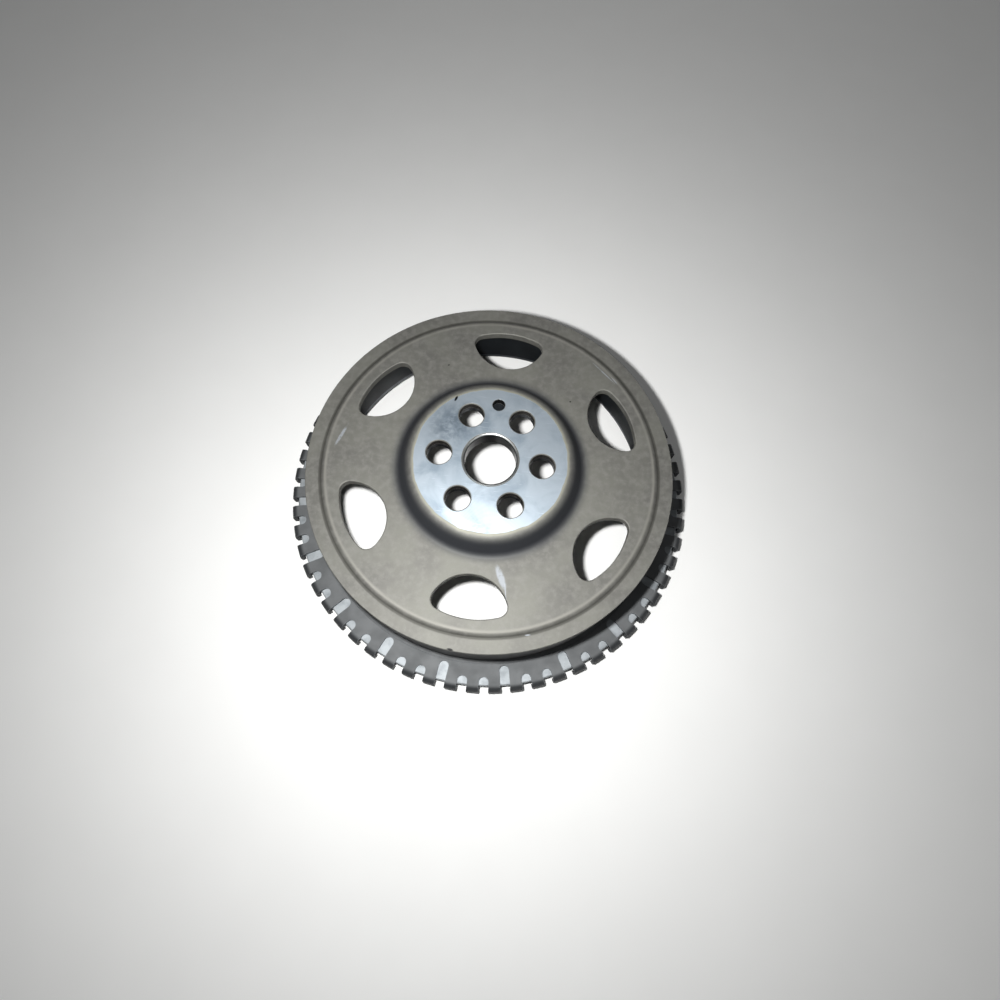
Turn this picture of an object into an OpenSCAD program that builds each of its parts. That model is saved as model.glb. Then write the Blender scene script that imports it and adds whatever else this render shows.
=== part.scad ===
// Pot flywheel with a slotted sensor ring, an outer inertia ring and a ring of magnets inside the pot.
// The axis is Z, the rear face lies on Z = 0 and the machined crank face is on top.

/* [Drive pot] */
// Outside diameter of the pot
pot_d = 235; // [225:1:245]
// Thickness of the pressed sheet
sheet_t = 5.5; // [4.5:0.5:6]
// Height of the flat rim band above the rear face
rim_z = 53.5; // [50:0.5:60]
// Height of the wall's lower end above the rear face
wall_z = 3; // [2:0.5:3.5]
// Diameter of the step where the web rises from the rim band
step_d = 216.6; // [212:0.2:220]
// Height of the web above the rim band
step_h = 1.6; // [1:0.2:2.6]

/* [Boss] */
// Diameter of the machined crank face
boss_d = 96; // [92:1:98]
// Height of the crank face above the rim band
boss_h = 13; // [11:0.5:15]
// Slope of the boss's flank above the horizontal
flank_a = 60; // [50:1:65]

/* [Crank interface] */
// Pitch circle diameter of the crank bolts
bolt_pcd = 65; // [62:0.5:67]
// Diameter of the crank bolt holes
bolt_hole_d = 16; // [12:0.5:17]
// Diameter of the hole for the crank's dowel
dowel_d = 8; // [6:0.5:8.5]
// Distance of the dowel hole from the axis
dowel_r = 37.7; // [37:0.1:39]
// Bore of the centring sleeve
spigot_d = 32.4; // [30:0.2:34]

/* [Windows] */
// Number of windows in the web
window_count = 6; // [4:1:7]
// Distance from the axis to a window's inner edge
window_in_r = 71.1; // [69:0.1:75]
// Distance from the axis to a window's outer edge
window_out_r = 97.8; // [95:0.1:99]
// Radius of a window's inner arc
window_in_arc = 24.7; // [23:0.1:27]
// Radius of a window's outer arc
window_out_arc = 52.9; // [45:0.1:80]
// Radius of a window's corners
window_corner = 6.5; // [5:0.5:9]

/* [Sensor ring] */
// Outside diameter of the sensor ring
sensor_d = 275; // [272:0.5:278]
// Sheet thickness of the sensor ring
sensor_t = 2.5; // [2:0.1:2.6]
// Height of the sensor ring's flat face
sensor_z = 11.9; // [11.5:0.1:13]
// Height of the skirt's lower edge
skirt_z = 1; // [0.6:0.1:2]
// Outer bend radius between face and skirt
shoulder_r = 4; // [3:0.5:5]
// Width of a slot
slot_w = 6.4; // [5:0.1:7]
// Distance from the axis to the closed end of a long slot
long_slot_r = 121.1; // [120:0.1:124]
// Distance from the axis to the closed end of a short slot
short_slot_r = 127.9; // [126:0.1:130]
// Turn of the slot pattern about the axis
slot_phase = -5.5; // [-9:0.5:9]

/* [Inertia ring] */
// Outside diameter of the inertia ring
inertia_d = 266.8; // [264:0.2:267]
// Number of radial locking pins
pin_count = 6; // [3:1:12]
// Diameter of a locking pin
pin_d = 3; // [2:0.5:3]

/* [Magnet ring] */
// Number of magnets
magnet_count = 20; // [16:2:24]
// Radial thickness of a magnet
magnet_t = 5; // [3:0.5:6]
// Length of a magnet along the axis
magnet_len = 20.4; // [16:0.2:22]
// Height of the magnets' lower ends
magnet_z = 14; // [13:0.1:14.5]
// Gap between neighbouring magnets, filled by the cage
magnet_gap = 4.6; // [4:0.2:6]
// Thickness of the liner over the magnets
liner_t = 0.6; // [0.4:0.1:1]

/* [Hidden] */
function magnet_name(i) = str("magnet_", i < 10 ? "0" : "", i);

$fn = 96;
cut = 0.5;
arc_steps = 8;

pot_r = pot_d / 2;
wall_r = pot_r - sheet_t;
web_z = rim_z + step_h;
boss_z = rim_z + boss_h;
boss_under_z = boss_z - sheet_t;

// Flank of the boss: a convex shoulder, a straight slope and a concave foot
crown_r = 7;
foot_r = 5;
normal_a = 90 - flank_a;
crown_x = boss_d / 2;
crown_z = boss_z - crown_r;
slope_drop = crown_z + crown_r * sin(normal_a) - (web_z + foot_r - foot_r * sin(normal_a));
foot_x = crown_x + (crown_r + foot_r) * cos(normal_a) + slope_drop / tan(flank_a);
foot_z = web_z + foot_r;

// Rolled edge of the web, and the inside corner of the pot
roll_r = 4;
roll_a = asin(1 - step_h / roll_r);
roll_x = step_d / 2 - roll_r * cos(roll_a);
corner_r = 6;
edge_chamfer = 0.5;

// Hub pieces
bolt_count = 6;
backing_t = 4;
backing_d = 2 * (crown_x - 4);
sleeve_wall = 1.5;
sleeve_flange_t = 1.5;
sleeve_flange_w = 3;
sleeve_recess = 0.4;
sleeve_hole_r = spigot_d / 2 + sleeve_wall;
hole_chamfer = 0.5;
backing_z = boss_under_z - backing_t;

// Window outline: two arcs that meet in a rounded corner on each side
win_in_c = window_in_r + window_in_arc;
win_out_c = window_out_r - window_out_arc;
win_span = win_in_c - win_out_c;
corner_near = window_in_arc - window_corner;
corner_far = window_out_arc - window_corner;
corner_up = (corner_far * corner_far - corner_near * corner_near + win_span * win_span) / (2 * win_span);
corner_x = sqrt(corner_far * corner_far - corner_up * corner_up);
corner_y = win_out_c + corner_up;
touch_in = [0, win_in_c] + window_in_arc / corner_near * [corner_x, corner_y - win_in_c];
touch_out = [0, win_out_c] + window_out_arc / corner_far * [corner_x, corner_up];
tip_dir = [touch_out[1] - touch_in[1], touch_in[0] - touch_out[0]];

// Sensor ring
sensor_r = sensor_d / 2;
slot_count = 60;
slot_pitch = 360 / slot_count;
reference_slots = [16, 17];

// Inertia ring
inertia_r = inertia_d / 2;
inertia_top = sensor_z - sensor_t;
ring_chamfer = 1;
lock_pin_z = 6;
lock_pin_in = pot_r - 4;
lock_pin_out = inertia_r - 0.5;
index_r = 125;
index_d = 3;
index_a = slot_phase + (reference_slots[0] + 0.5) * slot_pitch;
index_into_ring = 4;
index_into_sensor = 1.5;
balance_r = 125.5;
balance_d = 8;
balance_depth = 5;
balance_angles = [36, 54, 252];

// Magnet ring
magnet_in_r = wall_r - magnet_t;
liner_r = magnet_in_r - liner_t;
magnet_pitch = 360 / magnet_count;
magnet_a = magnet_pitch - magnet_gap / wall_r * 180 / PI;
cage_top_t = 3;
cage_top_z = magnet_z + magnet_len + cage_top_t;
keeper_t = 3;

// Points along an arc about a centre, in order from angle a0 to angle a1
function arc(centre, radius, a0, a1) =
    [for (i = [0:arc_steps]) let (a = a0 + (a1 - a0) * i / arc_steps) centre + radius * [cos(a), sin(a)]];

// Solid ring between two radii and two heights
module ring(r_in, r_out, z0, z1) {
    rotate_extrude($fn = 180)
        translate([r_in, z0])
            square([r_out - r_in, z1 - z0]);
}

// Hole along Z with a chamfer at its upper mouth
module chamfered_hole(d, z0, z1, chamfer) {
    translate([0, 0, z0 - cut])
        cylinder(d = d, h = z1 - z0 + 2 * cut);
    translate([0, 0, z1 - chamfer])
        cylinder(d1 = d, d2 = d + 2 * chamfer + 2 * cut, h = chamfer + cut);
}

// One window's outline, with its radial direction along Y
module window_outline() {
    difference() {
        intersection() {
            translate([0, win_in_c])
                circle(r = window_in_arc);
            translate([0, win_out_c])
                circle(r = window_out_arc);
        }
        for (side = [0, 1])
            mirror([side, 0])
                polygon([touch_in, touch_out, touch_out + 2 * tip_dir, touch_in + 2 * tip_dir]);
    }
    for (side = [-1, 1])
        translate([side * corner_x, corner_y])
            circle(r = window_corner);
}

// Half section of the pot: the upper skin outwards, then the lower skin back to the axis
module pot_section() {
    polygon(concat(
        [[0, boss_z]],
        arc([crown_x, crown_z], crown_r, 90, normal_a),
        arc([foot_x, foot_z], foot_r, 180 + normal_a, 270),
        arc([roll_x, web_z - roll_r], roll_r, 90, roll_a),
        [[pot_r - edge_chamfer, rim_z], [pot_r, rim_z - edge_chamfer], [pot_r, wall_z], [wall_r, wall_z]],
        arc([wall_r - corner_r, rim_z - sheet_t - corner_r], corner_r, 0, 90),
        [[step_d / 2 - roll_r - step_h, rim_z - sheet_t], [step_d / 2 - roll_r - 2 * step_h, web_z - sheet_t]],
        arc([foot_x, foot_z], foot_r + sheet_t, 270, 180 + normal_a),
        arc([crown_x, crown_z], crown_r - sheet_t, normal_a, 90),
        [[0, boss_under_z]]
    ));
}

// Places its children at the crank bolt holes
module at_crank_bolts() {
    for (i = [0:bolt_count - 1])
        rotate([0, 0, i * 360 / bolt_count])
            translate([bolt_pcd / 2, 0, 0])
                children();
}

// Pressed steel pot with boss, web, windows, rim band and wall
module drive_pot() {
    color("#7b7870")
        difference() {
            rotate_extrude($fn = 180)
                pot_section();
            chamfered_hole(2 * sleeve_hole_r, boss_under_z, boss_z, hole_chamfer);
            at_crank_bolts()
                chamfered_hole(bolt_hole_d, boss_under_z, boss_z, hole_chamfer);
            translate([0, dowel_r, 0])
                chamfered_hole(dowel_d, boss_under_z, boss_z, hole_chamfer / 2);
            for (i = [0:window_count - 1])
                rotate([0, 0, i * 360 / window_count])
                    translate([0, 0, web_z - sheet_t - cut])
                        linear_extrude(height = sheet_t + 2 * cut)
                            window_outline();
            lock_pin_holes();
        }
}

// Hard plate behind the boss that the crank bolts' heads clamp on, and that closes the dowel hole
module hub_backing_plate() {
    color("#8d9093")
        difference() {
            translate([0, 0, backing_z])
                cylinder(d = backing_d, h = backing_t);
            translate([0, 0, backing_z - cut])
                cylinder(r = sleeve_hole_r, h = backing_t + 2 * cut);
            at_crank_bolts()
                translate([0, 0, backing_z - cut])
                    cylinder(d = bolt_hole_d, h = backing_t + 2 * cut);
        }
}

// Flanged sleeve that centres the pot on the crank's spigot
module centring_sleeve() {
    top = boss_z - sleeve_recess;
    bottom = backing_z - sleeve_flange_t;
    color("#b4b6b4")
        difference() {
            union() {
                translate([0, 0, bottom])
                    cylinder(r = sleeve_hole_r, h = top - bottom);
                translate([0, 0, bottom])
                    cylinder(r = sleeve_hole_r + sleeve_flange_w, h = sleeve_flange_t);
            }
            chamfered_hole(spigot_d, bottom, top, hole_chamfer);
        }
}

// Radial rods through the inertia ring into the pot's wall, ending at a given radius
module radial_rods(r_end) {
    for (i = [0:pin_count - 1])
        rotate([0, 0, (i + 0.5) * 360 / pin_count])
            translate([lock_pin_in, 0, lock_pin_z])
                rotate([0, 90, 0])
                    cylinder(d = pin_d, h = r_end - lock_pin_in);
}

// Holes drilled from outside for the locking pins
module lock_pin_holes() {
    radial_rods(inertia_r + cut);
}

// Places its children at the balance plugs' pockets, in the rear face
module at_balance_plugs() {
    for (a = balance_angles)
        rotate([0, 0, a])
            translate([balance_r, 0, 0])
                children();
}

// Heavy ring shrunk onto the pot's wall
module inertia_ring() {
    color("#a9aeb0")
        difference() {
            rotate_extrude($fn = 180)
                polygon([
                    [pot_r, inertia_top],
                    [inertia_r - ring_chamfer, inertia_top],
                    [inertia_r, inertia_top - ring_chamfer],
                    [inertia_r, ring_chamfer],
                    [inertia_r - ring_chamfer, 0],
                    [pot_r + ring_chamfer, 0],
                    [pot_r, ring_chamfer]
                ]);
            lock_pin_holes();
            at_balance_plugs()
                translate([0, 0, -cut])
                    cylinder(d = balance_d, h = balance_depth + cut);
            rotate([0, 0, index_a])
                translate([index_r, 0, inertia_top - index_into_ring])
                    cylinder(d = index_d, h = index_into_ring + cut);
        }
}

// Pins that lock the inertia ring to the pot's wall
module inertia_ring_pins() {
    color("#9a9a98")
        radial_rods(lock_pin_out);
}

// Slot from a closed round end out through the skirt
module slot(r_in) {
    translate([r_in + slot_w / 2, 0, -cut]) {
        cylinder(d = slot_w, h = sensor_z + 2 * cut);
        translate([0, -slot_w / 2, 0])
            cube([sensor_r, slot_w, sensor_z + 2 * cut]);
    }
}

// Filled half section of the cap ring's outline, moved inwards by a given amount
module cap_section(inset) {
    low = skirt_z - inset;
    corner = [sensor_r - shoulder_r, sensor_z - shoulder_r];
    translate([pot_r - inset, low])
        square([corner[0] - pot_r + inset, sensor_z - inset - low]);
    translate([pot_r - inset, low])
        square([sensor_r - pot_r, corner[1] - low]);
    translate(corner)
        circle(r = shoulder_r - inset);
}

// Pressed cap ring with long and short slots, read by the crank sensor
module sensor_ring() {
    color("#5d6063")
        difference() {
            rotate_extrude($fn = 180)
                difference() {
                    cap_section(0);
                    cap_section(sensor_t);
                }
            for (i = [0:slot_count - 1])
                if (len(search(i, reference_slots)) == 0)
                    rotate([0, 0, slot_phase + i * slot_pitch])
                        slot(i % 3 == 0 ? long_slot_r : short_slot_r);
            rotate([0, 0, index_a])
                translate([index_r, 0, inertia_top - cut])
                    cylinder(d = index_d, h = index_into_sensor + cut);
        }
}

// Pin that sets the sensor ring's angle on the inertia ring
module index_pin() {
    color("#9a9a98")
        rotate([0, 0, index_a])
            translate([index_r, 0, inertia_top - index_into_ring])
                cylinder(d = index_d, h = index_into_ring + index_into_sensor);
}

// Curved block at a magnet's place, longer by play downwards and thicker by play on both curved sides
module magnet_block(i, play) {
    rotate([0, 0, (i - 1) * magnet_pitch + slot_phase - magnet_a / 2])
        rotate_extrude(angle = magnet_a, $fn = 180)
            translate([magnet_in_r - play, magnet_z - play])
                square([magnet_t + 2 * play, magnet_len + play]);
}

// Magnet, counted round from the first long slot, with its poles turned about on every second one
module magnet(i) {
    color(i % 2 == 1 ? "#4a4d50" : "#595c60")
        magnet_block(i, 0);
}

// Moulded cage that spaces the magnets and stops them at the top
module magnet_cage() {
    color("#2c2f31")
        difference() {
            ring(magnet_in_r, wall_r, magnet_z, cage_top_z);
            for (i = [1:magnet_count])
                magnet_block(i, cut);
        }
}

// Thin sleeve over the magnets' inner faces
module magnet_liner() {
    color("#3e444a")
        ring(liner_r, magnet_in_r, magnet_z, cage_top_z);
}

// Keeper ring pressed into the pot under the magnets
module magnet_retaining_ring() {
    color("#8f9396")
        ring(liner_r, wall_r, magnet_z - keeper_t, magnet_z);
}

// Press-in plugs that balance the flywheel
module balance_plugs() {
    color("#8a8c8c")
        at_balance_plugs()
            translate([0, 0, 0.3])
                cylinder(d = balance_d, h = balance_depth - 0.3);
}

drive_pot();
hub_backing_plate();
centring_sleeve();
inertia_ring();
inertia_ring_pins();
sensor_ring();
index_pin();
magnet_cage();
magnet_liner();
magnet_retaining_ring();
balance_plugs();
for (i = [1:magnet_count])
    magnet(i);
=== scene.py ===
"""Pot flywheel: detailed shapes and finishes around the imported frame, with a plain studio."""

import math

import bpy
from bpy.props import FloatProperty, FloatVectorProperty, PointerProperty
from mathutils import Matrix, Vector


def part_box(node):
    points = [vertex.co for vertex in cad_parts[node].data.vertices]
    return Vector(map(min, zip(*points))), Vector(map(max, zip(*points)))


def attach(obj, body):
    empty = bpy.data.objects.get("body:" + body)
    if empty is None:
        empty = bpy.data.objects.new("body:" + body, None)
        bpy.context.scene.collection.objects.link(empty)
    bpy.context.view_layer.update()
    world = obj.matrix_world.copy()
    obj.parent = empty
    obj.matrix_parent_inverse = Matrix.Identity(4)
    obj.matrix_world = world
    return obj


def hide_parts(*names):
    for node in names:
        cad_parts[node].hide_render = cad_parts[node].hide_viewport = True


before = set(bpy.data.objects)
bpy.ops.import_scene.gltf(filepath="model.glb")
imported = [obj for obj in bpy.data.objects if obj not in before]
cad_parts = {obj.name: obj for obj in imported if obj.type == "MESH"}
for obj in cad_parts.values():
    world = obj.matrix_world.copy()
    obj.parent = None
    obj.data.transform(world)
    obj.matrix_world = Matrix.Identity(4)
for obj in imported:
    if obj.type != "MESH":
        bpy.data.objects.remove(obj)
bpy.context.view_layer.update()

bl_info = {
    "name": "Pot flywheel",
    "version": (1, 0, 0),
    "blender": (4, 5, 0),
    "location": "View3D > Sidebar > Flywheel",
    "description": "Models the pieces of a pot flywheel, their finishes and a plain studio",
    "category": "Object",
}

MM = 0.001
BODY = "root"
STEPS = 240
MAGNETS = 20
SLOTS = 60
SLOT_TURN = math.radians(-5.5)
UNCUT_SLOTS = (16, 17)
BOLTS = 6
WINDOWS = 6
LOCK_PINS = 6
POCKET_TURNS = (36, 54, 252)

# Key light and camera stand these millimetres from the middle of the rim band; panels are placed in metres
KEY_AT = (-25, -110, 315)
KEY_SIZE = 0.02
PANELS = 3
PANEL_OUT = 1.1
PANEL_UP = 0.7
PANEL_SIZE = 0.9
CAMERA_AT = (16.6, -147.4, 377.3)
CAMERA_TURN = 3.33
CAMERA_TILT = 18.5
CAMERA_ROLL = 4.84

# Rubs and knocks on the crank side: place, turn in degrees and half sizes, in millimetres
BRIGHT_RUBS = (
    ((16.5, -70.5), -63, (9.5, 2.6)),
    ((37.0, -102.0), 12, (2.2, 0.5)),
    ((66.0, 78.0), -40, (13.0, 0.5)),
    ((74.0, 73.0), -46, (6.0, 0.4)),
    ((-98.0, 7.0), 72, (10.0, 1.3)),
    ((20.5, -79.0), -78, (7.0, 0.5)),
)
# Knocks are small dents painted near-black: painted shade
SHADED_KNOCKS = (
    ((-7.0, -116.6), -6, (2.4, 0.8)),
    ((-27.7, 38.2), 72, (2.6, 1.0)),
    ((-38.0, 68.0), 30, (0.9, 0.5)),
    ((46.0, 53.0), 10, (0.8, 0.6)),
    ((-66.0, 58.0), -40, (1.2, 0.4)),
)


def box_radius(node):
    """Half of a node's width."""
    low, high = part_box(node)
    return (high.x - low.x) / 2


def top_of(node):
    """Height of a node's highest point."""
    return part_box(node)[1].z


def bottom_of(node):
    """Height of a node's lowest point."""
    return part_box(node)[0].z


def linear(hex_colour):
    """Linear RGBA of an sRGB hex colour."""
    parts = [int(hex_colour[i : i + 2], 16) / 255 for i in (1, 3, 5)]
    return [c / 12.92 if c <= 0.04045 else ((c + 0.055) / 1.055) ** 2.4 for c in parts] + [1.0]


def length(name, description, default):
    """A property that holds a length."""
    return FloatProperty(
        name=name, description=description, default=default, min=0.0, unit="LENGTH", precision=5
    )


def colour(name, description, hex_colour):
    """A property that holds a colour."""
    return FloatVectorProperty(
        name=name, description=description, subtype="COLOR", size=4, min=0, max=1, default=linear(hex_colour)
    )


def power(name, description, default):
    """A property that holds a light's power."""
    return FloatProperty(name=name, description=description, default=default, min=0.0, unit="POWER")


class FlywheelSizes(bpy.types.PropertyGroup):
    """Sizes of the flywheel's pieces"""

    pot_radius: length("Pot radius", "Outside radius of the pot", box_radius("drive_pot"))
    boss_top: length("Crank face", "Height of the machined crank face", top_of("drive_pot"))
    rim_top: length("Rim band", "Height of the flat rim band", 53.5 * MM)
    web_rise: length("Web rise", "Height of the web above the rim band", 1.6 * MM)
    sheet: length("Sheet", "Thickness of the pot's sheet", 5.5 * MM)
    boss_radius: length("Crank face radius", "Radius of the machined crank face", 48 * MM)
    step_radius: length("Step radius", "Radius where the web's rolled edge meets the rim band", 108.3 * MM)
    bolt_circle: length("Bolt circle", "Diameter of the crank bolts' circle", 65 * MM)
    bolt_hole: length("Bolt hole", "Diameter of a crank bolt hole", 16 * MM)
    dowel_hole: length("Dowel hole", "Diameter of the dowel hole", 8 * MM)
    dowel_out: length("Dowel place", "Distance of the dowel hole from the axis", 37.7 * MM)
    sensor_radius: length(
        "Sensor ring radius", "Outside radius of the sensor ring", box_radius("sensor_ring")
    )
    sensor_sheet: length("Sensor sheet", "Sheet thickness of the sensor ring", 2.5 * MM)
    slot_width: length("Slot width", "Width of a slot in the sensor ring", 6.4 * MM)
    long_slot: length("Long slot", "Radius of a long slot's closed end", 121.1 * MM)
    short_slot: length("Short slot", "Radius of a short slot's closed end", 127.9 * MM)


class FlywheelFinishes(bpy.types.PropertyGroup):
    """Colours of the flywheel's finishes"""

    web: colour("Web", "Phosphated steel of the pot", "#73736c")
    web_dark: colour("Web, dark", "Darker cloud in the phosphate", "#666561")
    # Painted shade on the boss's drawn slope, with some darkening of the metal
    flank_tint_and_shade: colour("Flank", "Drawn and darkened flank of the boss", "#3a3c40")
    faced: colour("Crank face", "Machined crank face", "#b3bec7")
    faced_dark: colour("Crank face, dull", "Smears on the crank face", "#8a97a2")
    sensor: colour("Sensor ring", "Oiled dark sheet of the sensor ring", "#67696a")
    ring: colour("Inertia ring", "Turned cast iron of the inertia ring", "#a3a8ab")
    # The lining's near-black colour is painted shade
    lining: colour("Lining", "Slate coating of the magnets' lining", "#1d2125")


class FlywheelStudio(bpy.types.PropertyGroup):
    """Camera and light"""

    lens: FloatProperty(name="Lens", description="Focal length in millimetres", default=22.74, min=1, max=200)
    key: power("Key light", "Power of the key light", 1.9)
    side: power("Side panels", "Power of each side panel", 1.1)
    sky: FloatProperty(name="Surroundings", description="Strength of the surroundings", default=0.08, min=0)


# Modelling tools


def clear_selection():
    """Leaves edit mode and deselects everything."""
    if bpy.context.object and bpy.context.object.mode != "OBJECT":
        bpy.ops.object.mode_set(mode="OBJECT")
    bpy.ops.object.select_all(action="DESELECT")


def make_active(piece):
    """Selects one object alone."""
    clear_selection()
    piece.select_set(True)
    bpy.context.view_layer.objects.active = piece


def arc(centre, radius, start, end, steps=8):
    """Points of an arc about a centre, in degrees."""
    angles = [math.radians(start + (end - start) * i / steps) for i in range(steps + 1)]
    return [(centre[0] + radius * math.cos(a), centre[1] + radius * math.sin(a)) for a in angles]


def trace(name, points):
    """Draws a closed outline: one point is pulled along the path by extrudes, back to its start."""
    clear_selection()
    bpy.ops.mesh.primitive_plane_add(size=MM, location=points[0])
    piece = bpy.context.object
    piece.name = name
    bpy.ops.object.transform_apply(location=True)
    bpy.ops.object.mode_set(mode="EDIT")
    bpy.ops.mesh.merge(type="CENTER")
    for here, there in zip(points, points[1:] + points[:1]):
        bpy.ops.mesh.extrude_region_move(TRANSFORM_OT_translate={"value": Vector(there) - Vector(here)})
    bpy.ops.mesh.select_all(action="SELECT")
    bpy.ops.mesh.remove_doubles(threshold=MM / 1000)
    return piece


def lathe(name, section, steps=STEPS):
    """Turns a closed half section, given as (radius, height) points, round the axis."""
    piece = trace(name, [(r, 0, z) for r, z in section])
    bpy.ops.mesh.spin(steps=steps, angle=math.tau, center=(0, 0, 0), axis=(0, 0, 1))
    bpy.ops.mesh.select_all(action="SELECT")
    bpy.ops.mesh.remove_doubles(threshold=MM / 500)
    bpy.ops.mesh.normals_make_consistent(inside=False)
    bpy.ops.object.mode_set(mode="OBJECT")
    return piece


def prism(name, outline, centre, levels):
    """Raises an outline through levels, each a height and how far the outline grows along X and Y there."""
    span_x = max(x for x, y in outline) - min(x for x, y in outline)
    span_y = max(y for x, y in outline) - min(y for x, y in outline)
    piece = trace(name, [(x, y, levels[0][0]) for x, y in outline])
    bpy.ops.mesh.edge_face_add()
    size = (1.0, 1.0)
    height = levels[0][0]
    for z, grow_x, grow_y in levels:
        new_size = (1 + 2 * grow_x / span_x, 1 + 2 * grow_y / span_y)
        if z != height:
            bpy.ops.mesh.extrude_region_move(TRANSFORM_OT_translate={"value": (0, 0, z - height)})
        bpy.ops.transform.resize(
            value=(new_size[0] / size[0], new_size[1] / size[1], 1), center_override=(centre[0], centre[1], z)
        )
        size = new_size
        height = z
    bpy.ops.mesh.select_all(action="SELECT")
    bpy.ops.mesh.normals_make_consistent(inside=False)
    bpy.ops.object.mode_set(mode="OBJECT")
    return piece


def lip_levels(low, high, lip, over=1 * MM, steps=4):
    """Levels of a cutter whose mouths open out in quarter rounds at a plate's lower and upper faces."""
    turns = [math.pi / 2 * i / steps for i in range(steps + 1)]
    opening = [(lip * math.sin(a), lip * (1 - math.cos(a))) for a in turns]
    lower = [(low - over, lip)] + [(low + lip - deep, grow) for deep, grow in reversed(opening)]
    upper = [(high - lip + deep, grow) for deep, grow in opening] + [(high + over, lip)]
    return [(z, grow, grow) for z, grow in lower + upper]


def spread(piece, count, first=0.0, skip=()):
    """Copies a piece round the axis, each copy with its own mesh, and joins the ring of copies."""
    copies = []
    for i in range(count):
        if i in skip:
            continue
        make_active(piece)
        bpy.ops.object.duplicate()
        copy = bpy.context.object
        copy.rotation_euler.z = first + math.tau * i / count
        bpy.ops.object.transform_apply(rotation=True)
        copies.append(copy)
    bpy.data.objects.remove(piece)
    return join(copies)


def join(pieces):
    """Joins objects into the first one."""
    make_active(pieces[0])
    for piece in pieces:
        piece.select_set(True)
    bpy.ops.object.join()
    return bpy.context.object


def cut(piece, cutter):
    """Takes a cutter's shape out of a piece and removes the cutter."""
    make_active(piece)
    modifier = piece.modifiers.new("cut", "BOOLEAN")
    modifier.operation = "DIFFERENCE"
    modifier.solver = "EXACT"
    modifier.object = cutter
    bpy.ops.object.modifier_apply(modifier=modifier.name)
    bpy.data.objects.remove(cutter)


def hole_cutter(name, place, radius, low, high, lip):
    """Round cutter with a lip at its upper mouth."""
    clear_selection()
    middle = (*place, (high + low) / 2)
    bpy.ops.mesh.primitive_cylinder_add(vertices=72, radius=radius, depth=high - low, location=middle)
    cutter = bpy.context.object
    cutter.name = name
    bpy.ops.object.transform_apply(location=True)
    bpy.ops.object.mode_set(mode="EDIT")
    bpy.ops.mesh.select_all(action="DESELECT")
    bpy.ops.object.mode_set(mode="OBJECT")
    for face in cutter.data.polygons:
        face.select = face.normal.z > 0.9
    bpy.ops.object.mode_set(mode="EDIT")
    bpy.ops.transform.translate(value=(0, 0, -lip))
    bpy.ops.mesh.extrude_region_move(TRANSFORM_OT_translate={"value": (0, 0, lip)})
    grown = (radius + lip) / radius
    bpy.ops.transform.resize(value=(grown, grown, 1), center_override=(*place, high))
    bpy.ops.mesh.extrude_region_move(TRANSFORM_OT_translate={"value": (0, 0, MM)})
    bpy.ops.object.mode_set(mode="OBJECT")
    return cutter


def finish_piece(piece, name, material, nodes):
    """Shades, names and paints a piece, and sets it on the frame in place of its CAD nodes."""
    make_active(piece)
    bpy.ops.object.shade_smooth_by_angle(angle=math.radians(32))
    modifier = piece.modifiers.new("normals", "WEIGHTED_NORMAL")
    modifier.keep_sharp = True
    bpy.ops.object.modifier_apply(modifier=modifier.name)
    piece.name = name
    piece.data.name = name
    piece.data.materials.clear()
    piece.data.materials.append(material)
    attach(piece, BODY)
    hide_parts(*nodes)


# Materials


def add(tree, kind, inputs=None, **settings):
    """Adds a node with its settings, links or sets its inputs, and gives its first live output."""
    made = tree.nodes.new(kind)
    for name, value in settings.items():
        setattr(made, name, value)
    for key, value in (inputs or {}).items():
        if isinstance(key, int):
            socket = made.inputs[key]
        else:
            socket = next(s for s in made.inputs if s.name == key and s.enabled)
        if isinstance(value, bpy.types.NodeSocket):
            tree.links.new(value, socket)
        else:
            socket.default_value = value
    return next((out for out in made.outputs if out.enabled), None)


def per_mm(size):
    """Scale of a noise whose features are about size millimetres wide."""
    return 1000.0 / size


def new_material(name):
    """An empty material, its node tree and the place on the object in metres."""
    material = bpy.data.materials.new(name)
    material.use_nodes = True
    material.node_tree.nodes.clear()
    place = add(material.node_tree, "ShaderNodeTexCoord").node.outputs["Object"]
    return material, material.node_tree, place


def axis_distance(tree, place):
    """Distance from the flywheel's axis."""
    flat = add(tree, "ShaderNodeVectorMath", {0: place, 1: (1, 1, 0)}, operation="MULTIPLY")
    return add(tree, "ShaderNodeVectorMath", {0: flat}, operation="LENGTH")


def rise(tree, value, start, end):
    """0 below start and 1 above end, with a smooth rise between them."""
    return add(
        tree,
        "ShaderNodeMapRange",
        {"Value": value, "From Min": start, "From Max": end},
        interpolation_type="SMOOTHSTEP",
    )


def times(tree, first, second):
    """Product of two amounts."""
    return add(tree, "ShaderNodeMath", {0: first, 1: second}, operation="MULTIPLY")


def band(tree, value, rising, falling):
    """1 between two edges, each of them a pair of values that the amount rises or falls across."""
    return times(tree, rise(tree, value, *rising), rise(tree, value, falling[1], falling[0]))


def blend(tree, amount, first, second):
    """Goes from the first colour to the second by an amount."""
    return add(tree, "ShaderNodeMix", {"Factor": amount, "A": first, "B": second}, data_type="RGBA")


def edge_wear_and_highlight(tree, reach):
    """1 on edges, found from how far a rounded normal leans from the true one: a mask for worn bare edges and
    painted edge highlights.
    """
    rounded = add(tree, "ShaderNodeBevel", {"Radius": reach}, samples=4)
    true = add(tree, "ShaderNodeNewGeometry").node.outputs["Normal"]
    agree = add(tree, "ShaderNodeVectorMath", {0: rounded, 1: true}, operation="DOT_PRODUCT")
    return rise(tree, add(tree, "ShaderNodeMath", {0: 1.0, 1: agree}, operation="SUBTRACT"), 0.03, 0.2)


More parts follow.
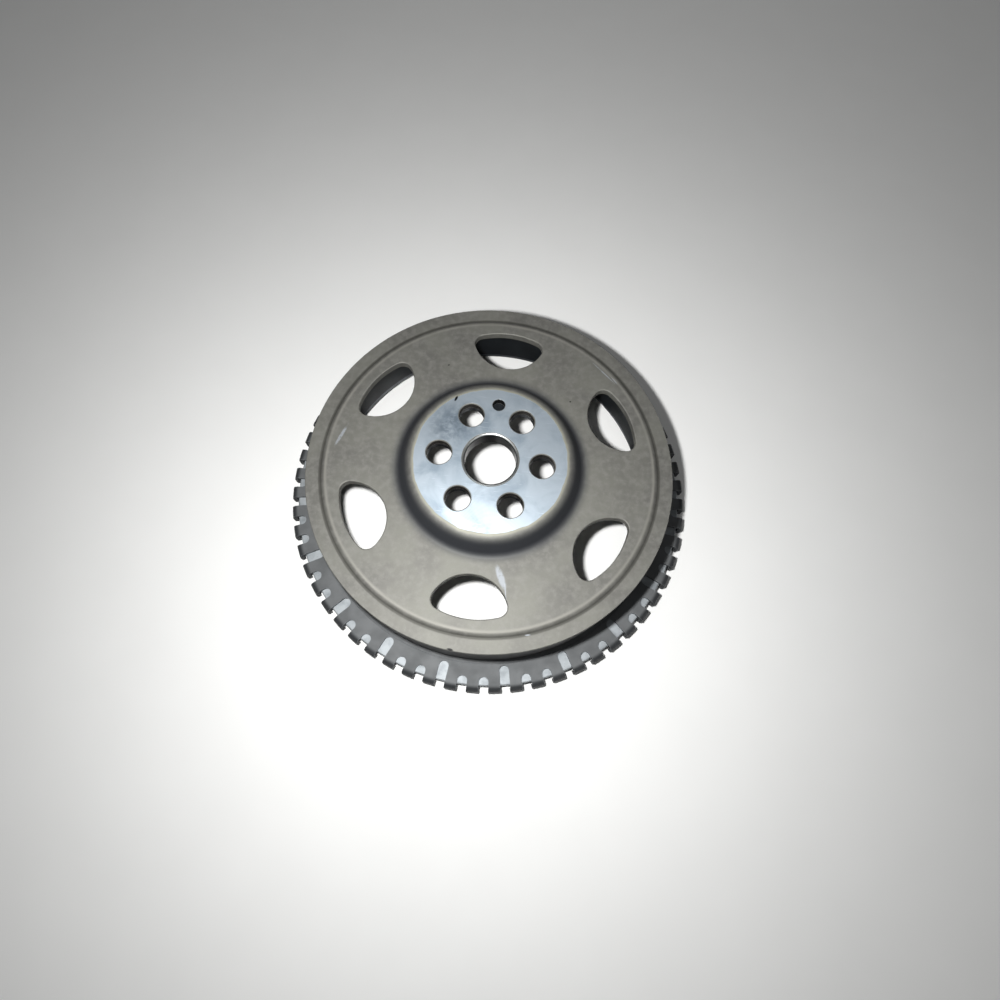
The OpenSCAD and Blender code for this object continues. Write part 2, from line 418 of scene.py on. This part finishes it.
def spot(tree, place, mark, soft=0.5):
    """1 inside a mark, given by its place, turn and half sizes in millimetres, fading to 0 at its edge."""
    at, turn, size = mark
    settings = {
        "Vector": place,
        "Location": (at[0] * MM, at[1] * MM, 0),
        "Rotation": (0, 0, math.radians(turn)),
        "Scale": (size[0] * MM, size[1] * MM, 1),
    }
    local = add(tree, "ShaderNodeMapping", settings, vector_type="TEXTURE")
    return rise(tree, axis_distance(tree, local), 1.0, 1.0 - soft)


def output(tree, shader):
    """Sends a shader to the surface."""
    add(tree, "ShaderNodeOutputMaterial", {"Surface": shader})


def phosphated_steel(finishes, sizes):
    """Drawn sheet steel with a thin grey phosphate: satin, clouded, and turned bright at the crank seat."""
    material, tree, place = new_material("phosphated_drawn_steel")
    radius = axis_distance(tree, place)
    height = add(tree, "ShaderNodeSeparateXYZ", {"Vector": place}).node.outputs["Z"]

    # Clouds of 25 mm and mottling of 4 mm in the phosphate
    cloud = add(tree, "ShaderNodeTexNoise", {"Vector": place, "Scale": per_mm(25), "Detail": 3.0})
    mottled = {"Vector": place, "Scale": per_mm(4), "Detail": 5.0, "Roughness": 0.65}
    mottle = add(tree, "ShaderNodeTexNoise", mottled)
    web = blend(tree, rise(tree, cloud, 0.3, 0.75), finishes.web, finishes.web_dark)
    web = blend(tree, rise(tree, mottle, 0.35, 0.8), web, linear("#7e7d78"))

    # Crystal grain is about 0.05 mm, drawn 0.5 mm wide so that it shows
    grain = add(tree, "ShaderNodeTexNoise", {"Vector": place, "Scale": per_mm(0.5), "Detail": 2.0})

    # The drawn slope of the boss is painted darker than the flat web: painted shade, with some darkening of
    # the metal
    flank_tint_and_shade = band(tree, radius, (49 * MM, 55 * MM), (57 * MM, 65.5 * MM))
    web = blend(tree, flank_tint_and_shade, web, finishes.flank_tint_and_shade)

    # Painted shade darkens the hollow at the foot of the step, and a painted highlight lightens its crest
    crest = sizes.step_radius - 3.6 * MM
    step = sizes.step_radius
    crease_shade = band(tree, radius, (step - 1.6 * MM, step - 0.3 * MM), (step + 0.2 * MM, step + 1.4 * MM))
    web = blend(tree, times(tree, crease_shade, 0.7), web, linear("#35342f"))
    rubs_and_highlight = times(tree, band(tree, radius, (crest - 1.8 * MM, crest), (crest, crest + 1.6 * MM)), cloud)
    web = blend(tree, rubs_and_highlight, web, linear("#918f88"))

    # Painted shade: the wall below the rim band is painted near-black, and the bolt holes and bore are
    # painted dark inside
    below = rise(tree, height, sizes.rim_top - 0.7 * MM, sizes.rim_top - 2.5 * MM)
    outside = rise(tree, radius, sizes.pot_radius - 1.0 * MM, sizes.pot_radius - 0.5 * MM)
    web = blend(tree, times(tree, below, outside), web, linear("#0c0c0d"))
    hole_shade = rise(tree, height, sizes.boss_top - 0.5 * MM, sizes.boss_top - 1.2 * MM)
    inward = rise(tree, radius, 43 * MM, 42 * MM)
    web = blend(tree, times(tree, hole_shade, inward), web, linear("#2e2a26"))

    # Painted shade blackens the dowel hole's wall
    dowel_shade = spot(tree, place, ((0.0, sizes.dowel_out / MM), 0, (4.35, 4.35)), 0.03)
    web = blend(tree, dowel_shade, web, linear("#060606"))

    # Rubs on the crank side show bright metal, broken up by the mottling
    upper = rise(tree, height, sizes.rim_top - 1.0 * MM, sizes.rim_top - 0.5 * MM)
    for mark in BRIGHT_RUBS:
        rubs_and_highlight = times(tree, times(tree, spot(tree, place, mark), 0.55), upper)
        rubs_and_highlight = times(tree, rubs_and_highlight, rise(tree, mottle, 0.3, 0.55))
        web = blend(tree, rubs_and_highlight, web, linear("#aab0b8"))

    # Facing cut leaves a bright seat up to a wandering edge
    wander = add(tree, "ShaderNodeTexNoise", {"Vector": place, "Scale": per_mm(9), "Detail": 2.0})
    edge = add(tree, "ShaderNodeMath", {0: wander, 1: 0.0016, 2: radius}, operation="MULTIPLY_ADD")
    on_top = rise(tree, height, sizes.boss_top - 0.25 * MM, sizes.boss_top - 0.1 * MM)
    in_seat = rise(tree, edge, sizes.boss_radius + 1.1 * MM, sizes.boss_radius + 0.6 * MM)
    faced = times(tree, on_top, in_seat)

    # Painted highlight: a cream band on the crown just outside the machined seat
    boss = sizes.boss_radius
    lip = band(tree, edge, (boss + 0.3 * MM, boss + 0.9 * MM), (boss + 1.2 * MM, boss + 3.2 * MM))
    web = blend(tree, lip, web, linear("#908f83"))

    # Smears of 20 mm in blue greys, a darker patch towards the upper left, and hair scratches
    smeared = {"Vector": place, "Scale": per_mm(20), "Detail": 5.0, "Distortion": 0.5}
    smear = add(tree, "ShaderNodeTexNoise", smeared)
    seat = blend(tree, rise(tree, smear, 0.38, 0.75), finishes.faced, finishes.faced_dark)
    dull = spot(tree, place, ((-26.0, 20.0), 50, (26.0, 20.0)), 0.9)
    seat = blend(tree, times(tree, dull, rise(tree, mottle, 0.2, 0.7)), seat, linear("#6d7a86"))
    for turn, stretch in ((35, 22), (118, 26)):
        settings = {"Vector": place, "Rotation": (0, 0, math.radians(turn)), "Scale": (1, stretch, 1)}
        along = add(tree, "ShaderNodeMapping", settings)
        scratched = {"Vector": along, "Scale": per_mm(16), "Detail": 3.0, "Distortion": 0.3}
        hair = add(tree, "ShaderNodeTexNoise", scratched)
        seat = blend(tree, rise(tree, hair, 0.66, 0.8), seat, linear("#cfd9e1"))

    # Facing marks are fine rings about 0.8 mm apart
    rings = times(tree, radius, math.tau / (0.8 * MM))
    rings = add(tree, "ShaderNodeMath", {0: rings}, operation="SINE")

    base = blend(tree, faced, web, seat)
    # Painted shade: each knock is painted near-black
    for mark in SHADED_KNOCKS:
        knock_shade = times(tree, spot(tree, place, mark), upper)
        base = blend(tree, knock_shade, base, linear("#161617"))
    # Lighter edges: worn bare metal and painted highlight
    edge_wear_and_glint = edge_wear_and_highlight(tree, 0.7 * MM)
    base = blend(tree, edge_wear_and_glint, base, linear("#b9b8b0"))

    grain_roughness = add(tree, "ShaderNodeMapRange", {"Value": mottle, "To Min": 0.56, "To Max": 0.7})
    seat_roughness = add(tree, "ShaderNodeMapRange", {"Value": smear, "To Min": 0.4, "To Max": 0.6})
    roughness = add(
        tree, "ShaderNodeMix", {"Factor": faced, "A": grain_roughness, "B": seat_roughness}, data_type="FLOAT"
    )
    relief = add(tree, "ShaderNodeMix", {"Factor": faced, "A": grain, "B": rings}, data_type="FLOAT")
    metallic = add(tree, "ShaderNodeMapRange", {"Value": faced, "To Min": 0.55, "To Max": 0.9})
    bump = add(tree, "ShaderNodeBump", {"Height": relief, "Strength": 0.16, "Distance": 0.06 * MM})
    shader = add(
        tree,
        "ShaderNodeBsdfPrincipled",
        {"Base Color": base, "Metallic": metallic, "Roughness": roughness, "Normal": bump},
    )
    output(tree, shader)
    return material


def oiled_sheet(finishes):
    """Pressed sheet steel with a dark, oiled oxide, lighter on its edges where worn bare and as painted
    highlight.
    """
    material, tree, place = new_material("oiled_dark_sheet_steel")
    cloud = add(tree, "ShaderNodeTexNoise", {"Vector": place, "Scale": per_mm(12), "Detail": 4.0})
    grain = add(tree, "ShaderNodeTexNoise", {"Vector": place, "Scale": per_mm(0.6), "Detail": 3.0})
    radius = axis_distance(tree, place)
    base = blend(tree, rise(tree, cloud, 0.3, 0.75), finishes.sensor, linear("#5a5c5d"))
    # Painted shade darkens the outer shoulder, more towards its rim
    base = blend(tree, rise(tree, radius, 132.5 * MM, 135.5 * MM), base, linear("#343638"))
    # Lighter edges: worn bare metal and painted highlight
    base = blend(tree, edge_wear_and_highlight(tree, 0.6 * MM), base, linear("#7c8083"))
    roughness = add(tree, "ShaderNodeMapRange", {"Value": cloud, "To Min": 0.6, "To Max": 0.75})
    bump = add(tree, "ShaderNodeBump", {"Height": grain, "Strength": 0.2, "Distance": 0.06 * MM})
    shader = add(
        tree,
        "ShaderNodeBsdfPrincipled",
        {"Base Color": base, "Metallic": 0.4, "Roughness": roughness, "Normal": bump},
    )
    output(tree, shader)
    return material


def turned_iron(finishes):
    """Cast iron, turned and then left: light grey, dull, with pores and feed marks."""
    material, tree, place = new_material("turned_cast_iron")
    radius = axis_distance(tree, place)
    pored = {"Vector": place, "Scale": per_mm(1.2), "Detail": 4.0, "Roughness": 0.7}
    pores = add(tree, "ShaderNodeTexNoise", pored)
    cloud = add(tree, "ShaderNodeTexNoise", {"Vector": place, "Scale": per_mm(8), "Detail": 3.0})
    base = blend(tree, rise(tree, cloud, 0.35, 0.75), finishes.ring, linear("#84898c"))
    base = blend(tree, rise(tree, pores, 0.62, 0.75), base, linear("#5c6063"))
    feed = times(tree, radius, math.tau / (0.6 * MM))
    feed = add(tree, "ShaderNodeMath", {0: feed}, operation="SINE")
    relief = add(tree, "ShaderNodeMath", {0: feed, 1: 0.4, 2: pores}, operation="MULTIPLY_ADD")
    bump = add(tree, "ShaderNodeBump", {"Height": relief, "Strength": 0.35, "Distance": 0.08 * MM})
    shader = add(
        tree,
        "ShaderNodeBsdfPrincipled",
        {"Base Color": base, "Metallic": 0.55, "Roughness": 0.6, "Normal": bump},
    )
    output(tree, shader)
    return material


def plain_finish(name, colours, grain_mm, metallic, rough, ringed=0.0, shaded_below=0.0):
    """A two-tone finish with grain, turned rings where ringed is above 0, and painted shade below a height.
    """
    material, tree, place = new_material(name)
    height = add(tree, "ShaderNodeSeparateXYZ", {"Vector": place}).node.outputs["Z"]
    cloud = add(tree, "ShaderNodeTexNoise", {"Vector": place, "Scale": per_mm(grain_mm * 12), "Detail": 4.0})
    grain = add(tree, "ShaderNodeTexNoise", {"Vector": place, "Scale": per_mm(grain_mm), "Detail": 3.0})
    rings = times(tree, axis_distance(tree, place), math.tau / (0.7 * MM))
    rings = add(tree, "ShaderNodeMath", {0: rings}, operation="SINE")
    relief = add(tree, "ShaderNodeMath", {0: rings, 1: ringed, 2: grain}, operation="MULTIPLY_ADD")
    base = blend(tree, rise(tree, cloud, 0.3, 0.75), linear(colours[0]), linear(colours[1]))
    # Painted shade below a height
    shade_mask = rise(tree, height, shaded_below, shaded_below - 0.4 * MM)
    base = blend(tree, shade_mask, base, linear("#1b1b1c"))
    shine = {"Value": cloud, "To Min": rough - 0.08, "To Max": rough + 0.1}
    roughness = add(tree, "ShaderNodeMapRange", shine)
    bump = add(tree, "ShaderNodeBump", {"Height": relief, "Strength": 0.2, "Distance": 0.05 * MM})
    shader = add(
        tree,
        "ShaderNodeBsdfPrincipled",
        {"Base Color": base, "Metallic": metallic, "Roughness": roughness, "Normal": bump},
    )
    output(tree, shader)
    return material


# Pieces


def pot_section(sizes):
    """Closed half section of the pot, in metres."""
    boss_r = sizes.boss_radius
    top = sizes.boss_top
    web_top = sizes.rim_top + sizes.web_rise
    crown = 7 * MM
    foot = 5 * MM
    lean = 30
    lean_cos = math.cos(math.radians(lean))
    lean_sin = math.sin(math.radians(lean))
    drop = (top - crown + crown * lean_sin) - (web_top + foot - foot * lean_sin)
    foot_x = boss_r + (crown + foot) * lean_cos + drop * lean_sin / lean_cos
    crown_at = (boss_r, top - crown)
    foot_at = (foot_x, web_top + foot)
    sheet = sizes.sheet
    round_r = 4 * MM
    hollow_r = 1.5 * MM
    slope = 42
    half = math.radians(slope)
    run = (sizes.web_rise - (round_r + hollow_r) * (1 - math.cos(half))) / math.tan(half)
    step_in = sizes.step_radius - (round_r + hollow_r) * math.sin(half) - run
    wall_in = sizes.pot_radius - sheet
    low = bottom_of("drive_pot")
    edge = 0.5 * MM
    corner = 6 * MM
    bore = box_radius("centring_sleeve") - 3 * MM
    chamfer = 0.5 * MM
    return (
        [(bore, top - sheet), (bore, top - chamfer), (bore + chamfer, top)]
        + arc(crown_at, crown, 90, lean, 14)
        + arc(foot_at, foot, 180 + lean, 270, 12)
        + arc((step_in, web_top - round_r), round_r, 90, 90 - slope, 8)
        + arc((sizes.step_radius, sizes.rim_top + hollow_r), hollow_r, 270 - slope, 270, 8)
        + arc((sizes.pot_radius - edge, sizes.rim_top - edge), edge, 90, 0, 5)
        + arc((sizes.pot_radius - edge, low + edge), edge, 0, -90, 4)
        + [(wall_in, low)]
        + arc((wall_in - corner, sizes.rim_top - sheet - corner), corner, 0, 90, 10)
        + [(step_in, sizes.rim_top - sheet), (step_in - 2 * MM, web_top - sheet)]
        + arc(foot_at, foot + sheet, 270, 180 + lean, 14)
        + arc(crown_at, crown - sheet, lean, 90, 6)
    )


def window_outline():
    """Outline in metres of the window on +Y: two arcs that meet in a rounded corner on each side."""
    near = 24.7
    far = 52.9
    near_at = 71.1 + near
    far_at = 97.8 - far
    corner = 6.5
    span = near_at - far_at
    reach_near = near - corner
    reach_far = far - corner
    up = (reach_far**2 - reach_near**2 + span**2) / (2 * span)
    side = math.sqrt(reach_far**2 - up**2)
    corner_y = far_at + up
    near_turn = math.degrees(math.atan2(corner_y - near_at, side))
    far_turn = math.degrees(math.atan2(up, side))
    points = (
        arc((0, near_at), near, 180 - near_turn, 360 + near_turn, 40)
        + arc((side, corner_y), corner, near_turn, far_turn, 12)[1:]
        + arc((0, far_at), far, far_turn, 180 - far_turn, 24)[1:]
        + arc((-side, corner_y), corner, 180 - far_turn, 180 - near_turn, 12)[1:-1]
    )
    return [(x * MM, y * MM) for x, y in points]


class FLYWHEEL_OT_drive_pot(bpy.types.Operator):
    """Model the pressed pot with its boss, holes, windows, rim band and wall"""

    bl_idname = "flywheel.drive_pot"
    bl_label = "Drive pot"

    def execute(self, context):
        sizes = context.scene.flywheel_sizes
        pot = lathe("drive_pot_shell", pot_section(sizes))
        web_top = sizes.rim_top + sizes.web_rise
        outline = window_outline()
        centre = (0, sum(y for x, y in outline) / len(outline))
        window = prism("window", outline, centre, lip_levels(web_top - sizes.sheet, web_top, 0.7 * MM))
        cut(pot, spread(window, WINDOWS))
        under = sizes.boss_top - sizes.sheet - MM
        bolt = hole_cutter(
            "bolt", (sizes.bolt_circle / 2, 0), sizes.bolt_hole / 2, under, sizes.boss_top, 0.6 * MM
        )
        cut(pot, spread(bolt, BOLTS))
        dowel = hole_cutter(
            "dowel", (0, sizes.dowel_out), sizes.dowel_hole / 2, under, sizes.boss_top, 0.3 * MM
        )
        cut(pot, dowel)
        material = phosphated_steel(context.scene.flywheel_finishes, sizes)
        finish_piece(pot, "drive_pot_shell", material, ["drive_pot"])
        return {"FINISHED"}


class FLYWHEEL_OT_hub(bpy.types.Operator):
    """Model the backing plate and the centring sleeve"""

    bl_idname = "flywheel.hub"
    bl_label = "Hub"

    def execute(self, context):
        sizes = context.scene.flywheel_sizes
        low = bottom_of("hub_backing_plate")
        high = top_of("hub_backing_plate")
        bore = box_radius("centring_sleeve") - 3 * MM
        rim = box_radius("hub_backing_plate")
        edge = 0.6 * MM
        section = [(bore, low), (rim - edge, low), (rim, low + edge), (rim, high), (bore, high)]
        plate = lathe("backing_plate", section)
        bolt = hole_cutter("bolt", (sizes.bolt_circle / 2, 0), sizes.bolt_hole / 2, low - MM, high, 0.1 * MM)
        cut(plate, spread(bolt, BOLTS))
        ground = plain_finish("blued_ground_steel", ("#33373c", "#262a2e"), 0.5, 0.8, 0.42, 0.5)
        finish_piece(plate, "backing_plate", ground, ["hub_backing_plate"])

        low = bottom_of("centring_sleeve")
        high = top_of("centring_sleeve")
        flange = box_radius("centring_sleeve")
        inner = bore - 1.5 * MM
        thick = 1.5 * MM
        lead = 0.9 * MM
        fine = 0.2 * MM
        section = (
            [(inner, low + fine), (inner, high - lead)]
            + [(bore - 0.6 * MM, high - 0.1 * MM), (bore - 0.3 * MM, high)]
            + [(bore - 0.05 * MM, high - 0.2 * MM), (bore - 0.05 * MM, low + thick)]
            + [(flange - fine, low + thick), (flange, low + thick - fine), (flange, low + fine)]
            + [(flange - fine, low), (inner + fine, low)]
        )
        sleeve = lathe("sleeve", section)
        # The sleeve is painted dark below its top edge: painted shade in the bore
        shade_from = high - 0.3 * MM
        bright = plain_finish("turned_bright_steel", ("#d4d6d4", "#b3b6b6"), 0.4, 0.95, 0.3, 0.8, shade_from)
        finish_piece(sleeve, "sleeve", bright, ["centring_sleeve"])
        return {"FINISHED"}


class FLYWHEEL_OT_inertia_ring(bpy.types.Operator):
    """Model the heavy ring round the pot's foot, with its balance pockets and pin holes"""

    bl_idname = "flywheel.inertia_ring"
    bl_label = "Inertia ring"

    def execute(self, context):
        sizes = context.scene.flywheel_sizes
        low = bottom_of("inertia_ring")
        high = top_of("inertia_ring")
        outer = box_radius("inertia_ring")
        inner = sizes.pot_radius + 0.02 * MM
        edge = MM
        section = (
            arc((inner + edge, low + edge), edge, 180, 270, 4)
            + arc((outer - edge, low + edge), edge, 270, 360, 4)
            + arc((outer - edge, high - edge), edge, 0, 90, 4)
            + [(inner, high)]
        )
        ring = lathe("inertia_ring_body", section)
        pocket_out = 125.5 * MM
        pocket_r = 4 * MM
        pocket_roof = 5 * MM
        over = MM
        for turn in POCKET_TURNS:
            turned = math.radians(turn)
            at = (pocket_out * math.cos(turned), pocket_out * math.sin(turned), (pocket_roof - over) / 2)
            clear_selection()
            bpy.ops.mesh.primitive_cylinder_add(
                vertices=48, radius=pocket_r, depth=pocket_roof + over, location=at
            )
            cut(ring, bpy.context.object)
        pin_r = 1.5 * MM
        pin_height = 6 * MM
        pin_middle = 125 * MM
        pin_cut = 20 * MM
        clear_selection()
        bpy.ops.mesh.primitive_cylinder_add(
            vertices=32,
            radius=pin_r,
            depth=pin_cut,
            location=(pin_middle, 0, pin_height),
            rotation=(0, math.radians(90), 0),
        )
        bpy.ops.object.transform_apply()
        cut(ring, spread(bpy.context.object, LOCK_PINS, math.radians(30)))
        material = turned_iron(context.scene.flywheel_finishes)
        finish_piece(ring, "inertia_ring_body", material, ["inertia_ring"])
        return {"FINISHED"}


class FLYWHEEL_OT_sensor_ring(bpy.types.Operator):
    """Model the slotted cap ring"""

    bl_idname = "flywheel.sensor_ring"
    bl_label = "Sensor ring"

    def execute(self, context):
        sizes = context.scene.flywheel_sizes
        low = bottom_of("sensor_ring")
        high = top_of("sensor_ring")
        outer = sizes.sensor_radius
        sheet = sizes.sensor_sheet
        inner = sizes.pot_radius + 0.02 * MM
        shoulder = 4 * MM
        shoulder_at = (outer - shoulder, high - shoulder)
        seat_r = 120 * MM
        seat_drop = 0.25 * MM
        fine = 0.3 * MM
        section = (
            [(inner, high - sheet), (inner, high - seat_drop)]
            + [(seat_r - fine, high - seat_drop), (seat_r, high)]
            + arc(shoulder_at, shoulder, 90, 0, 12)
            + arc((outer - fine, low + fine), fine, 0, -90, 3)
            + arc((outer - sheet + fine, low + fine), fine, 270, 180, 3)
            + arc(shoulder_at, shoulder - sheet, 0, 90, 6)
        )
        ring = lathe("sensor_ring_cap", section, 360)
        half = sizes.slot_width / 2
        end = outer + 2 * MM
        levels = [(low - 2 * MM, 0, 0), (high + 2 * MM, 0, 0)]
        long_places = [i for i in range(SLOTS) if i % 3 == 0]
        short_places = [i for i in range(SLOTS) if i % 3 != 0]
        for places, reach in ((long_places, sizes.long_slot), (short_places, sizes.short_slot)):
            at = (reach + half, 0)
            outline = [(end, -half), (end, half)] + arc(at, half, 90, 270, 16)
            slot = prism("slot", outline, at, levels)
            unwanted = [i for i in range(SLOTS) if i not in places or i in UNCUT_SLOTS]
            cut(ring, spread(slot, SLOTS, SLOT_TURN, unwanted))
        material = oiled_sheet(context.scene.flywheel_finishes)
        finish_piece(ring, "sensor_ring_cap", material, ["sensor_ring"])
        return {"FINISHED"}


class FLYWHEEL_OT_magnet_ring(bpy.types.Operator):
    """Model the lining and the keeper ring"""

    bl_idname = "flywheel.magnet_ring"
    bl_label = "Magnet ring"

    def execute(self, context):
        finishes = context.scene.flywheel_finishes
        low = bottom_of("magnet_liner")
        high = top_of("magnet_liner")
        outer = box_radius("magnet_liner") - 0.02 * MM
        inner = outer - 0.58 * MM
        fine = 0.15 * MM
        section = [(inner, low), (outer, low), (outer, high), (inner + fine, high), (inner, high - fine)]
        lining = lathe("lining", section)
        # Painted shade: the lining is painted near-black
        material, tree, place = new_material("lining_painted_shade")
        cloud = add(tree, "ShaderNodeTexNoise", {"Vector": place, "Scale": per_mm(18), "Detail": 4.0})
        base = blend(tree, rise(tree, cloud, 0.3, 0.75), finishes.lining, linear("#14171a"))
        roughness = add(tree, "ShaderNodeMapRange", {"Value": cloud, "To Min": 0.42, "To Max": 0.6})
        shader = add(
            tree, "ShaderNodeBsdfPrincipled", {"Base Color": base, "Metallic": 0.3, "Roughness": roughness}
        )
        output(tree, shader)
        finish_piece(lining, "lining", material, ["magnet_liner"])

        keeper_low = bottom_of("magnet_retaining_ring")
        keeper_high = top_of("magnet_retaining_ring")
        outer = box_radius("magnet_retaining_ring")
        edge = 0.4 * MM
        section = (
            [(inner, keeper_high), (inner, keeper_low + edge), (inner + edge, keeper_low)]
            + [(outer - edge, keeper_low), (outer, keeper_low + edge), (outer, keeper_high)]
        )
        keeper = lathe("keeper_ring", section)
        plain = plain_finish("plain_pressed_steel", ("#6f7377", "#5a5e62"), 0.6, 0.85, 0.45)
        finish_piece(keeper, "keeper_ring", plain, ["magnet_retaining_ring"])
        return {"FINISHED"}


class FLYWHEEL_OT_small_pieces(bpy.types.Operator):
    """Paint the pieces that the frame already holds in their true shape"""

    bl_idname = "flywheel.small_pieces"
    bl_label = "Small pieces"

    def execute(self, context):
        sintered = plain_finish("sintered_magnet", ("#4c5054", "#3b3f43"), 0.4, 0.6, 0.5)
        moulded = plain_finish("moulded_black_nylon", ("#1d1f21", "#15171a"), 0.4, 0.0, 0.5)
        ground = plain_finish("ground_pin_steel", ("#9a9b99", "#838583"), 0.4, 0.95, 0.3)
        painted = {"magnet_cage": moulded}
        painted.update({name: ground for name in ("inertia_ring_pins", "index_pin", "balance_plugs")})
        painted.update({f"magnet_{i:02d}": sintered for i in range(1, MAGNETS + 1)})
        for name, material in painted.items():
            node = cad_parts[name]
            node.data.materials.clear()
            node.data.materials.append(material)
        return {"FINISHED"}


class FLYWHEEL_OT_studio(bpy.types.Operator):
    """Set the floor, the lights, the surroundings and the camera"""

    bl_idname = "flywheel.studio"
    bl_label = "Studio"

    def execute(self, context):
        studio = context.scene.flywheel_studio
        clear_selection()
        bpy.ops.mesh.primitive_plane_add(size=6, location=(0, 0, -0.05 * MM))
        floor = bpy.context.object
        floor.name = "floor"
        material, tree, place = new_material("pale_paper")
        fibre = add(tree, "ShaderNodeTexNoise", {"Vector": place, "Scale": per_mm(40), "Detail": 2.0})
        base = blend(tree, fibre, linear("#f3f3f1"), linear("#efefed"))
        output(tree, add(tree, "ShaderNodeBsdfPrincipled", {"Base Color": base, "Roughness": 0.9}))
        floor.data.materials.append(material)

        middle = Vector((0, 0, 53.5 * MM))
        place_light("key", middle + Vector(KEY_AT) * MM, middle, KEY_SIZE, studio.key)
        for i in range(PANELS):
            turn = math.radians(90 + 360 / PANELS * i)
            at = Vector((PANEL_OUT * math.cos(turn), PANEL_OUT * math.sin(turn), PANEL_UP))
            place_light(f"side_{i}", at, middle, PANEL_SIZE, studio.side)

        world = bpy.data.worlds.new("surroundings")
        context.scene.world = world
        world.use_nodes = True
        backdrop = world.node_tree.nodes["Background"]
        backdrop.inputs["Color"].default_value = linear("#f4f6f8")
        backdrop.inputs["Strength"].default_value = studio.sky

        camera_data = bpy.data.cameras.new("camera")
        camera_data.lens = studio.lens
        camera_data.sensor_width = 36
        camera_data.clip_start = 10 * MM
        camera = bpy.data.objects.new("camera", camera_data)
        context.scene.collection.objects.link(camera)
        turn = Matrix.Rotation(math.radians(CAMERA_TURN), 4, "Z")
        tilt = Matrix.Rotation(math.radians(CAMERA_TILT), 4, "X")
        roll = Matrix.Rotation(math.radians(CAMERA_ROLL), 4, "Z")
        at = middle + Vector(CAMERA_AT) * MM
        camera.matrix_world = Matrix.Translation(at) @ turn @ tilt @ roll
        context.scene.camera = camera
        context.scene.view_settings.view_transform = "Standard"
        return {"FINISHED"}


def place_light(name, at, target, size, power):
    """Adds a round soft light that faces a target."""
    data = bpy.data.lights.new(name, "AREA")
    data.shape = "DISK"
    data.size = size
    data.energy = power
    light = bpy.data.objects.new(name, data)
    bpy.context.scene.collection.objects.link(light)
    light.location = at
    light.rotation_euler = (Vector(target) - Vector(at)).to_track_quat("-Z", "Y").to_euler()


class FLYWHEEL_PT_sidebar(bpy.types.Panel):
    """Buttons for the flywheel's pieces, and its sizes and colours"""

    bl_idname = "FLYWHEEL_PT_sidebar"
    bl_label = "Pot flywheel"
    bl_space_type = "VIEW_3D"
    bl_region_type = "UI"
    bl_category = "Flywheel"

    def draw(self, context):
        for operator in OPERATORS:
            self.layout.operator(operator.bl_idname)
        for group in ("flywheel_sizes", "flywheel_finishes", "flywheel_studio"):
            values = getattr(context.scene, group)
            for name in values.bl_rna.properties.keys():
                if name not in ("rna_type", "name"):
                    self.layout.prop(values, name)


GROUPS = {
    "flywheel_sizes": FlywheelSizes,
    "flywheel_finishes": FlywheelFinishes,
    "flywheel_studio": FlywheelStudio,
}
OPERATORS = (
    FLYWHEEL_OT_studio,
    FLYWHEEL_OT_drive_pot,
    FLYWHEEL_OT_hub,
    FLYWHEEL_OT_inertia_ring,
    FLYWHEEL_OT_sensor_ring,
    FLYWHEEL_OT_magnet_ring,
    FLYWHEEL_OT_small_pieces,
)


def register():
    for name, group in GROUPS.items():
        bpy.utils.register_class(group)
        setattr(bpy.types.Scene, name, PointerProperty(type=group))
    for item in (*OPERATORS, FLYWHEEL_PT_sidebar):
        bpy.utils.register_class(item)


def unregister():
    for item in (FLYWHEEL_PT_sidebar, *reversed(OPERATORS)):
        bpy.utils.unregister_class(item)
    for name, group in GROUPS.items():
        delattr(bpy.types.Scene, name)
        bpy.utils.unregister_class(group)


def main():
    register()
    bpy.ops.flywheel.studio()
    bpy.ops.flywheel.drive_pot()
    bpy.ops.flywheel.hub()
    bpy.ops.flywheel.inertia_ring()
    bpy.ops.flywheel.sensor_ring()
    bpy.ops.flywheel.magnet_ring()
    bpy.ops.flywheel.small_pieces()
    clear_selection()


if __name__ == "__main__":
    main()
